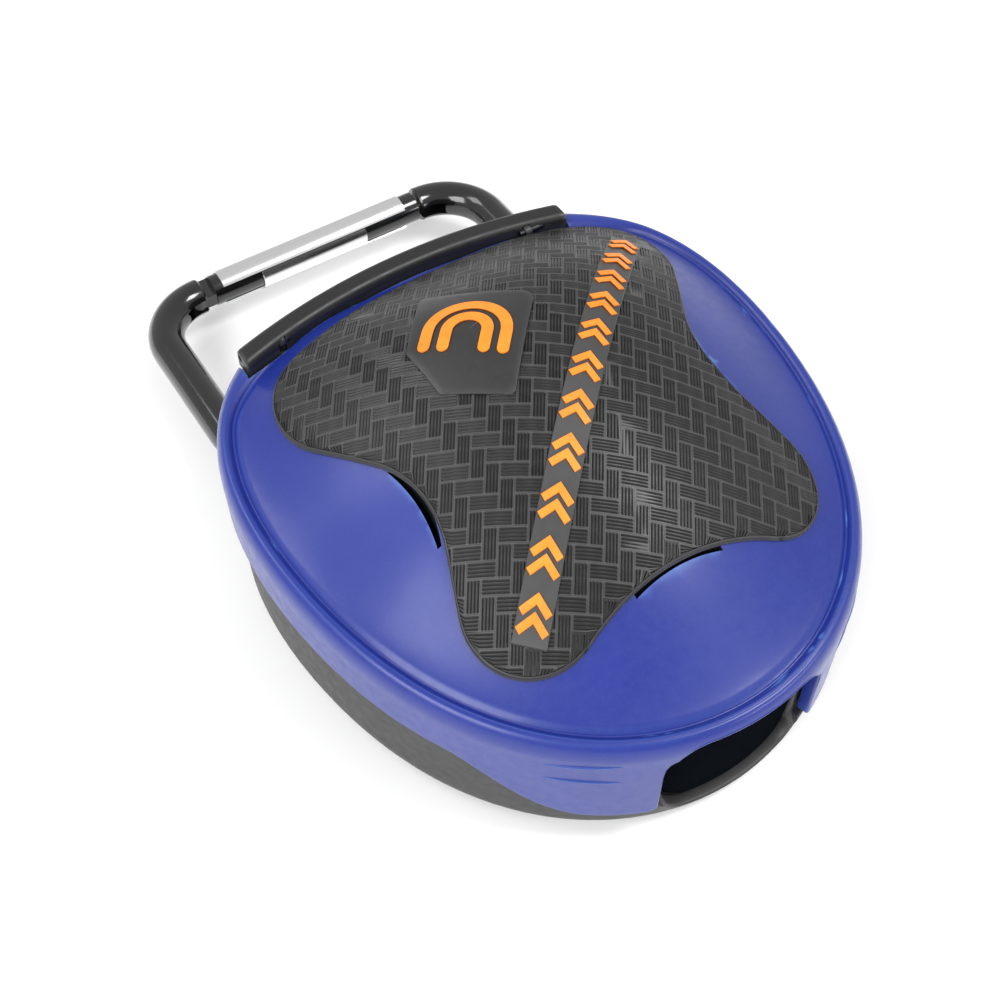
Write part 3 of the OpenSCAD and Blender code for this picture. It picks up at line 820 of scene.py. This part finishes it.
def nearest(points, ring):
    """The nearest places on a closed outline, and how far they are."""
    run = np.roll(ring, -1, 0) - ring
    t = ((points[:, None] - ring[None]) * run[None]).sum(2) / (run ** 2).sum(1)
    places = ring[None] + np.clip(t, 0, 1)[..., None] * run[None]
    far = np.linalg.norm(places - points[:, None], axis=2)
    best = far.argmin(1)
    row = np.arange(len(points))
    return places[row, best], far[row, best]


def build_inlay():
    edge = spaced(rounded(INLAY_CORNERS, INLAY_RADII, 24), 0.8)
    drops = ((0, 0.2), (0.04, 0.08), (0.12, 0.02), (0.2, 0.02), (0.26, 0.08), (0.3, 0.17))
    rim = [(inset, INLAY_HIGH - drop) for inset, drop in drops]
    piece("inlay_body", dome_slab(edge, [0, -4], rim, INLAY_LOW, 40), TWILL, "lid",
          ["lid_inlay"])
    piece("inlay_weave", weave_blocks(inward(edge, 0.28)), TWILL, "lid", sharp=20)


def build_badge():
    low = INLAY_HIGH + 0.15
    high = low + 0.3
    corners = [[-6.5, 20], [6, 8.5], [-7, -6], [-15, 0.5], [-15, 9.5]]
    edge = spaced(rounded(corners, [0.8, 2, 0.8, 0.8, 0.8]), 0.4)
    rim = [(0, high - 0.12), (0.04, high - 0.03), (0.14, high)]
    piece("badge_cover", dome_slab(edge, BADGE, rim, low, 10), SMOOTH, "lid",
          ["badge_plate"])
    arcs = []
    leg = 4.0
    for r in (5.6, 2.9):
        t = np.linspace(0, np.pi, 60)
        arch = np.vstack([[[r, -leg]], r * columns(np.cos(t), np.sin(t)), [[-r, -leg]]])
        arch = spaced(arch, 0.25, closed=False)
        path = np.asarray(BADGE) + turned(arch, MARK_TURN)
        width = blunt(len(path), 0.85, 2 * leg + math.pi * r)
        arcs.append(dome_bar(path, width, high + 0.06, high + 0.3))
    piece("badge_horseshoe", joined(arcs), ORANGE, "lid", ["badge_emblem"])


def build_stripe():
    low = INLAY_HIGH + 0.2
    high = low + 0.2
    run = BAND_END - BAND_START
    length = float(np.linalg.norm(run))
    ahead = run / length
    side = np.array([-ahead[1], ahead[0]])
    path = BAND_START + np.linspace(0, length, 90)[:, None] * ahead
    piece("stripe_cover", dome_bar(path, BAND_HALF, low - 0.15, high), SMOOTH, "lid",
          ["stripe_band"])
    marks = []
    pitch = length / MARK_COUNT
    for k in range(MARK_COUNT):
        for half in (-1, 1):
            centre = BAND_START + (pitch * (k + 0.5) + 1.1 * half) * ahead
            tip, tail = centre + 0.9 * ahead, centre - 0.9 * ahead
            left, right = tail - 1.9 * side, tail + 1.9 * side
            arms = [left + (tip - left) * t for t in np.linspace(0, 1, 5)]
            arms += [tip + (right - tip) * t for t in np.linspace(0, 1, 5)[1:]]
            marks.append(dome_bar(arms, 0.5, high + 0.02, high + 0.22, 0.05))
    piece("stripe_chevrons", joined(marks), ORANGE, "lid", ["stripe_marks"])


build_inlay()
build_badge()
build_stripe()


# ---------- base ----------

FOOT = catmull([[12, 0], [4.6, 0], [3.0, 0.5], [2.0, 1.6], [1.4, 3.2], [1.1, 5.2]], 5)
FOOT[:, 1] = np.maximum(0, FOOT[:, 1])
ROUND = np.radians(np.arange(0, 360, 1.5))


def plan_row(inset, z):
    """A ring round the plan at an inset from the outline."""
    return columns(plan_at(ROUND, inset), np.broadcast_to(z, ROUND.shape))


def rim_row(inset, rise):
    """The same, at a height over the parting line."""
    y = -(outline(ROUND) - inset) * np.cos(ROUND)
    return plan_row(inset, part_height(y) + rise)


def belly(z):
    """Inset of the base's outside at a height."""
    low = np.interp(z, FOOT[:, 1], FOOT[:, 0])
    return low + (WALL + LIP_GAP + 0.1 - low) * smooth_step((z - 5.6) / 1.2)


def recess_cutter():
    """A slot with rounded lower corners that runs out of the front."""
    back, front = 44.0, 64.0
    shape = [(-RECESS_HALF, CUT_TOP)] + arc_points(-SILL_FLAT, SILL_TOP, SILL_CORNER, 180, 270, 12)
    shape += arc_points(SILL_FLAT, SILL_TOP, SILL_CORNER, 270, 360, 12) + [(RECESS_HALF, CUT_TOP)]
    verts, faces = prism(shape, back, front)
    return mesh_object("cutter", (verts[:, [0, 2, 1]] * [1, -1, 1], faces))


def bay_cutter():
    """The space behind the case's rear wall, for the hook."""
    return box((-CUT_TOP, BAY_Y, -1), (CUT_TOP, 90, BAY_TOP))


def build_base():
    """The bowl, with a lip inside its edge that is highest at the front."""
    step_in = WALL + LIP_GAP
    y = -outline(ROUND) * np.cos(ROUND)
    lip = 0.1 + LIP_H * (1 - np.clip((y + 6) / 12, 0, 1))
    outer = [plan_row(d, z) for d, z in FOOT]
    outer += [rim_row(BASE_INSET + d, z) for d, z in ((0, -0.45), (0.05, -0.15), (0.2, -0.02), (0.4, 0))]
    lip_rows = ((-0.1, 0), (0, np.minimum(0.1, lip / 2)), (0, np.maximum(lip - 0.3, lip * 0.7)),
                (0.12, lip - np.minimum(0.08, lip / 5)), (0.35, lip), (0.85, lip),
                (1.1, lip - np.minimum(0.25, lip / 3)))
    inner = [rim_row(step_in + d, z) for d, z in lip_rows]
    inner += [plan_row(d, z) for d, z in ((3.8, 5.2), (4.4, 3.4), (5.3, 2.6), (6.6, 2.3), (12, WALL))]
    shell = mesh_object("base_work", loft(outer + inner, ([0, 0, 0], [0, 0, WALL])), GREY)
    cut(shell, bay_cutter())
    cut(shell, recess_cutter())
    piece("base_bowl", shell, GREY, "case", ["base_shell"], sharp=35)


def build_bay_walls():
    """The wall and roof between the tray and the hook's bay."""
    solid = [plan_row(d + 0.4, z + 0.2) for d, z in FOOT] + [rim_row(BASE_INSET + 0.4, -0.05)]
    block = mesh_object("bay_work", loft(solid, ([0, 0, 0.2], [0, 0, PART_Z])), GREY)
    cut(block, box((-CUT_TOP, BAY_Y - WALL, 1), (CUT_TOP, 90, BAY_TOP + WALL)), "INTERSECT")
    cut(block, bay_cutter())
    piece("bay_walls", block, GREY, "case", sharp=35)


def build_hinge_wall():
    """The upright wall that carries the hinge cover."""
    foot, bevel = BAY_TOP + 0.5, 0.3
    sections = []
    for x in np.linspace(COVER_LEFT + 0.3, COVER_RIGHT - 0.3, 61):
        front, back = cover_arc(COVER_ARC_R - 0.3, x), cover_arc(COVER_ARC_R + 1.5, x)
        sections.append([[x, front, foot], [x, front, TOWER_TOP], [x, back - bevel, TOWER_TOP],
                         [x, back, TOWER_TOP - bevel], [x, back, foot]])
    piece("hinge_wall", tube(sections), GREY, "case")


def build_recess_rim():
    """The recess's rounded rim, just inside the lid's opening."""
    post_top = 20.9
    path = [(-RECESS_HALF, z) for z in np.linspace(post_top, SILL_TOP, 22)]
    path += arc_points(-SILL_FLAT, SILL_TOP, SILL_CORNER, 180, 270, 20)[1:]
    path += [(x, RECESS_SILL) for x in np.linspace(-SILL_FLAT, 0, 9)[1:-1]]
    path += [(-x, z) for x, z in path[::-1]]
    path = np.array(path)
    t = unit(np.gradient(path, axis=0))
    away = columns(t[:, 1], -t[:, 0])
    sections = []
    for (px, pz), (nx, nz) in zip(path, away):
        proud = -0.05 - 0.7 * float(smooth_step((pz - 3.2) / 5))
        e = np.array([proud, proud + 0.06, proud + 0.22, proud + 0.5, 1, 1, proud + 0.1, proud])
        depth = np.array([0.55, 0.25, 0.06, 0, 0, 1.9, 1.9, 1.75])
        x, z = px + nx * e, pz + nz * e
        a = np.copysign(angle_at(np.abs(x)), x)
        sections.append(columns(plan_at(a, belly(z) + depth - 0.03), z))
    piece("recess_rim", tube(sections), GREY, "case", sharp=50)


def upright_plate(half, low, high, corner, outer, inner, edge):
    """A plate that follows the front wall's curve, with rounded corners and edges."""
    shape = []
    x, z0, z1 = half - corner, low + corner, high - corner
    for cx, cz, start in ((x, z1, 0), (-x, z1, 90), (-x, z0, 180), (x, z0, 270)):
        shape += arc_points(cx, cz, corner, start, start + 90, 14)
    shape = spaced(np.array(shape), 0.5)
    middle = np.array([0, (low + high) / 2])
    rings = [(middle + (shape - middle) * f, inner) for f in np.linspace(0.05, 0.95, 10)]
    rings += [(shape, inner), (shape, outer + edge)]
    rings += [(inward(shape, edge * (1 - math.cos(v))), outer + edge * (1 - math.sin(v)))
              for v in np.radians([25, 50, 70, 90])]
    flat = rings[-1][0]
    rings += [(middle + (flat - middle) * f, outer) for f in np.linspace(1, 0.05, 16)[1:]]
    rows = []
    for ring, inset in rings:
        a = np.sign(ring[:, 0]) * angle_at(np.abs(ring[:, 0]))
        rows.append(columns(plan_at(a, inset), ring[:, 1]))
    return tube(rows)


def build_panel():
    back_plate = upright_plate(14.6, 3.5, 21.4, 2.5, 4.6, 6.35, 0.3)
    face = upright_plate(12.6, 3.3, 19.2, 6.0, 3.0, 4.7, 0.5)
    # The panel's near-black finish paints the shade under the lid.
    piece("panel_cover", joined([back_plate, face]), TRAY, "case", ["thumb_panel"], sharp=50)


def tray_row(inset, z):
    """A ring of the tray: a height up to 0 is under the tray's edge, one above 0 is over the resting face."""
    rear, power = BAY_Y - WALL - 0.4, 14.0
    r = outline(ROUND) - 5.8 - inset
    back = np.where(np.cos(ROUND) < 0, (rear - inset) / np.maximum(1e-3, -np.cos(ROUND)), 1e3)
    r = (r ** -power + np.minimum(back, 1e3) ** -power) ** (-1 / power)
    p = polar(ROUND, r)
    top = np.maximum(8.5, part_height(p[:, 1]) - 1.5)
    return columns(p, top + z if z <= 0 else np.full(len(p), z))


def build_tray():
    thick = 1.4
    floor = TRAY_FLOOR + thick
    outer = [(5, 0), (3.6, 0.1), (2.6, 0.7), (1.2, 2)]
    crest = [(0, -0.4), (0.15, -0.08), (0.45, 0), (0.95, 0), (1.25, -0.08), (thick, -0.4)]
    inner = [(2.6, 3), (3.3, 2.1), (4.4, 1.7), (6, thick + 0.02), (9, thick)]
    rows = [tray_row(inset, TRAY_FLOOR + z) for inset, z in outer]
    rows += [tray_row(inset, z) for inset, z in crest]
    rows += [tray_row(inset, TRAY_FLOOR + z) for inset, z in inner]
    tray = mesh_object("tray_work", loft(rows, ([0, 0, TRAY_FLOOR], [0, 0, floor])), TRAY)
    opening_half, opening_y = 15.5, -43
    cut(tray, box((-opening_half, -CUT_TOP, 6), (opening_half, opening_y, 30)))
    piece("tray_bowl", tray, TRAY, "case", ["inner_tray"], sharp=35)


def build_hinge_cover():
    """A curved bar with rounded top edges, notched for the knuckles and bored for the pins."""
    inner, outer = COVER_ARC_R - COVER_W / 2, COVER_ARC_R + COVER_W / 2
    low, high, edge = TOWER_TOP + 0.02, HINGE_Z + 1.35, 1.25
    profile = [(inner, low)] + arc_points(inner + edge, high - edge, edge, 180, 90, 9)
    profile += arc_points(outer - edge, high - edge, edge, 90, 0, 9) + [(outer, low)]
    mid = np.array([COVER_ARC_R, (low + high) / 2])
    sections = []
    rounding = [(0, 0.86), (0.12, 0.95), (0.45, 1.0)]
    stations = [(COVER_LEFT + step, size) for step, size in rounding]
    stations += [(x, 1.0) for x in np.linspace(COVER_LEFT + 1, COVER_RIGHT - 1, 80)]
    stations += [(COVER_RIGHT - step, size) for step, size in rounding[::-1]]
    for x, size in stations:
        ring = []
        for r, z in profile:
            r, z = mid + (np.array([r, z]) - mid) * [size, size if z > low else 1.0]
            ring.append([x, cover_arc(r, x), z])
        sections.append(ring)
    cover = mesh_object("cover_work", tube(sections), BLACK)
    for side, shift in EARS:
        x0, x1 = sorted((side * (EAR_IN - 0.1) + shift, side * (EAR_OUT + 0.1) + shift))
        cut(cover, box((x0, HINGE_Y - 10, HINGE_Z - 10), (x1, HINGE_Y + 0.6, HINGE_Z)))
        cut(cover, box((x0, HINGE_Y - 10, HINGE_Z - 10), (x1, HINGE_Y - 0.75, HINGE_Z + 0.5)))
        cut(cover, bore(EAR_R + 0.1, x0, x1))
        x0, x1 = sorted((side * (EAR_IN - 0.5) + shift, side * 32 + shift))
        cut(cover, bore(PIN_R + 0.02, x0, x1))
    piece("hinge_bar", cover, BLACK, "case", ["hinge_cover"], sharp=40)


build_base()
build_bay_walls()
build_hinge_wall()
build_recess_rim()
build_panel()
build_tray()
build_hinge_cover()


# ---------- snap hook ----------

NOSE_X = 22.6
PIVOT_X = -24.0
FORK_R = 2.9
SLOT_X = 27.4


def pivot_disc(radius, half):
    """An upright cutter about the gate's pivot."""
    x, y = circle(radius, 40)
    plan = columns(PIVOT_X + x, GATE_Y + y)
    return mesh_object("cutter", prism(plan, HOOK_Z - half, HOOK_Z + half))


def build_hook():
    """The open ring of round rod, forked at one end and slotted for the gate."""
    bend = RING_HALF - CORNER_R
    path = [(-NOSE_X, GATE_Y), (-NOSE_X - 0.3, GATE_Y)]
    near, far = HOOK_Y + CORNER_R, GATE_Y - CORNER_R
    for cx, cy, start in ((-bend, far, 90), (-bend, near, 180), (bend, near, 270), (bend, far, 0)):
        path += arc_points(cx, cy, CORNER_R, start, start + 90, 28)
    path += [(NOSE_X + 0.3, GATE_Y), (NOSE_X, GATE_Y)]
    path = np.array(path)
    ahead = unit(np.gradient(path, axis=0))
    sections = []
    for i, (p, d) in enumerate(zip(path, ahead)):
        across, up = circle(ROD_R - (0.25 if i in (0, len(path) - 1) else 0), 64)
        sections.append(columns(p + across[:, None] * [-d[1], d[0]], HOOK_Z + up))
    rod = mesh_object("hook_work", tube(sections), ENAMEL)
    fork_half, slot_half = 1.28, 1.2
    cut(rod, pivot_disc(FORK_R, fork_half))
    cut(rod, box((PIVOT_X, GATE_Y - 6, HOOK_Z - fork_half),
                 (PIVOT_X + 5, GATE_Y + FORK_R, HOOK_Z + fork_half)))
    cut(rod, pivot_disc(0.81, 2.6))
    for x in (-SLOT_X, NOSE_X - 1):
        cut(rod, box((x, GATE_Y - ROD_R - 1, HOOK_Z - slot_half),
                     (x + SLOT_X - NOSE_X + 1, GATE_Y - 1.2, HOOK_Z + slot_half)))
    piece("hook_rod", rod, ENAMEL, "hook", ["hook_body"], sharp=35)


def arc_shell(r0, r1, start, end, x0, x1):
    """Part of a tube along X about the gate's axis; angles are from the side that faces the case."""
    count, edge = 48, 0.08
    t = np.radians(np.linspace(start, end, count))
    stations = ((x0, edge), (x0 + edge, 0), (x1 - edge, 0), (x1, edge))
    verts = []
    for x, shy in stations:
        for r in (r1 - shy, r0 + shy):
            y, z = GATE_Y - r * np.cos(t), HOOK_Z + r * np.sin(t)
            verts.append(columns(np.full(count, x), y, z))
    faces = []
    for k in range(3):
        a, b = 2 * count * k, 2 * count * (k + 1)
        for i in range(count - 1):
            faces.append((a + i, a + i + 1, b + i + 1, b + i))
            faces.append((a + i + count, b + i + count, b + i + count + 1, a + i + count + 1))
        faces += [(a + i, b + i, b + i + count, a + i + count) for i in (0, count - 1)]
    for end in (0, 6 * count):
        faces += [(a, a + 1, a + 1 + count, a + count) for a in range(end, end + count - 1)]
    return np.vstack(verts), faces


def build_gate():
    sleeve = arc_shell(2.85, ROD_R, 41, 319, -19, 19)
    strip = arc_shell(2.86, ROD_R - 0.02, -38, 38, -11.4, 10.2)
    piece("gate_tube", sleeve, CHROME, "gate", ["gate_sleeve"], sharp=40)
    piece("gate_strip", strip, CHROME, "gate", ["gate_insert"], sharp=40)


build_hook()
build_gate()


# ---------- mouthguard ----------

GUARD_Y = -10.0
GUARD_Z = 3.95
LEG = 21.98
ARCH_R = 23.0
BITE_PITCH = 7.2


def arch_sweep(section, name, material, replaced):
    """Carries a section of (offset outward, height) points along the arch, from leg end to leg end."""
    legs = np.linspace(0, 1, 26)[:-1]
    stations = [((-ARCH_R, LEG - LEG * t), (-1.0, 0.0), 1 - t) for t in legs]
    for v in np.radians(np.linspace(180, 360, 73)):
        stations.append(((ARCH_R * math.cos(v), ARCH_R * math.sin(v)), (math.cos(v), math.sin(v)), 0.0))
    stations += [((ARCH_R, LEG - LEG * t), (1.0, 0.0), 1 - t) for t in legs[::-1]]
    rings = []
    for (x, y), (nx, ny), leg in stations:
        front = math.exp(-(x / 5.0) ** 2) if y < 0 else 0.0
        run = math.atan2(y, x) * ARCH_R if leg == 0 else y
        rings.append([[x + nx * o, y + ny * o + GUARD_Y, z] for o, z in section(leg, front, run)])
    piece(name, tube(rings), material, "mouthguard", replaced, sharp=45)


def shell_section(leg, front, _run):
    """The trough: a tall outer wall, notched at the front, a lower inner wall and closed leg ends."""
    close = float(smooth_step((leg - 0.90) / 0.08))
    tall = 13.9 - 2.2 * front - 2.4 * leg ** 2
    low = 9.8 + 2.6 * float(smooth_step(leg / 0.4)) - 1.8 * leg ** 2
    pinch = 1 - 0.22 * float(smooth_step((leg - 0.93) / 0.07))
    floor = 2.35 + close * (low - 2.5)
    pts = []
    for side, top, shoulder in ((1, tall, 1.1), (-1, low, 1.0)):
        half = [(5.6, 0.15), (6.6, 0.6), (6.95, 1.6), (6.97, top - 1.3), (6.8, top - 0.45), (6.3, top),
                (5.85, top - 0.3), (5.65, top - shoulder), (5.5, max(floor, 3.6)), (5.1, max(floor, 2.75)),
                (4.4, floor)]
        pts += [(side * o, z) for o, z in half[::side]]
    return [(o * pinch, GUARD_Z - 0.1 + z) for o, z in pts]


def liner_section(leg, front, run):
    """The liner in the trough, with a channel for the teeth that waves a little along its run."""
    pinch = 1 - 0.3 * float(smooth_step((leg - 0.86) / 0.1))
    bite = 0.28 * math.cos(2 * math.pi * run / BITE_PITCH)
    top = 9.2 + 0.12 * bite - 0.8 * leg ** 2 - 0.5 * front
    floor = 3.9 + bite * 0.5
    close = float(smooth_step((leg - 0.86) / 0.08))
    floor = floor + close * (top - 0.4 - floor)
    half = [(4.9, 2.5), (5.3, 3.0), (5.32, top - 0.6), (5.1, top - 0.1), (4.7, top), (4.35, top - 0.4),
            (4.1 + bite * 0.3, max(floor, 5.4)), (3.6, max(floor, 4.3)), (2.8, floor)]
    pts = half + [(-o, z) for o, z in half[::-1]]
    return [(o * pinch, GUARD_Z + z) for o, z in pts]


arch_sweep(shell_section, "guard_body", RUBBER, ["guard_shell"])
arch_sweep(liner_section, "guard_gel_liner", GEL, ["guard_liner"])


# ---------- camera, light and floor ----------

def set_camera():
    """Over the front left of the case, looking down at the lid."""
    azimuth, elevation, distance = math.radians(-33.0), math.radians(52.7), 222.2
    back = Vector((math.sin(azimuth) * math.cos(elevation), -math.cos(azimuth) * math.cos(elevation),
                   math.sin(elevation)))
    right = Vector((math.cos(azimuth), math.sin(azimuth), 0))
    up = back.cross(right)
    target = Vector((0, 0, 10.8)) - 4.64 * right + 0.05 * up
    data = bpy.data.cameras.new("camera")
    data.lens, data.sensor_width, data.clip_start = 50.4, 36, 0.01
    camera = bpy.data.objects.new("camera", data)
    camera.location = (target + distance * back) * MM
    camera.rotation_euler = back.to_track_quat("Z", "Y").to_euler()
    bpy.context.scene.collection.objects.link(camera)
    bpy.context.scene.camera = camera


def set_floor():
    far = 3000
    corners = [(-far, -far, 0), (far, -far, 0), (far, far, 0), (-far, far, 0)]
    mesh_object("floor", (corners, [(0, 1, 2, 3)]), floor_paint())


def softbox(name, location, size, power):
    """A rectangular area light aimed at the case; places and sizes are in metres."""
    light = bpy.data.lights.new(name, "AREA")
    light.shape = "RECTANGLE"
    light.size, light.size_y = size
    light.energy = power
    lamp = bpy.data.objects.new(name, light)
    lamp.location = Vector(location)
    lamp.rotation_euler = (Vector(location) - Vector((0, 0, 0.02))).to_track_quat("Z", "Y").to_euler()
    bpy.context.scene.collection.objects.link(lamp)


def set_light():
    softbox("key", (-0.62, -0.22, 0.52), (0.5, 0.5), 5.0)
    softbox("over_right", (0.40, -0.26, 0.81), (0.3, 0.26), 4.0)
    softbox("over_left", (-0.42, 0.42, 0.70), (0.4, 0.3), 1.5)
    softbox("front_right", (0.42, -0.64, 0.27), (0.4, 0.06), 1.1)
    world = bpy.data.worlds.new("world")
    bpy.context.scene.world = world
    world.use_nodes = True
    background = world.node_tree.nodes["Background"]
    background.inputs["Color"].default_value = (1, 1, 1, 1)
    background.inputs["Strength"].default_value = 0.65
    bpy.context.scene.view_settings.view_transform = "Standard"


CAD_LOOKS = {"hook_lug": GREY, "hinge_pin_left": BLUED, "hinge_pin_right": BLUED, "lid_latch": LATCH_BLUE,
             "gate_pin": STEEL, "gate_spring": STEEL, "gate_core": ENAMEL}
for node, look in CAD_LOOKS.items():
    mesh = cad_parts[node].data
    mesh.materials.clear()
    mesh.materials.append(look)

set_camera()
set_floor()
set_light()
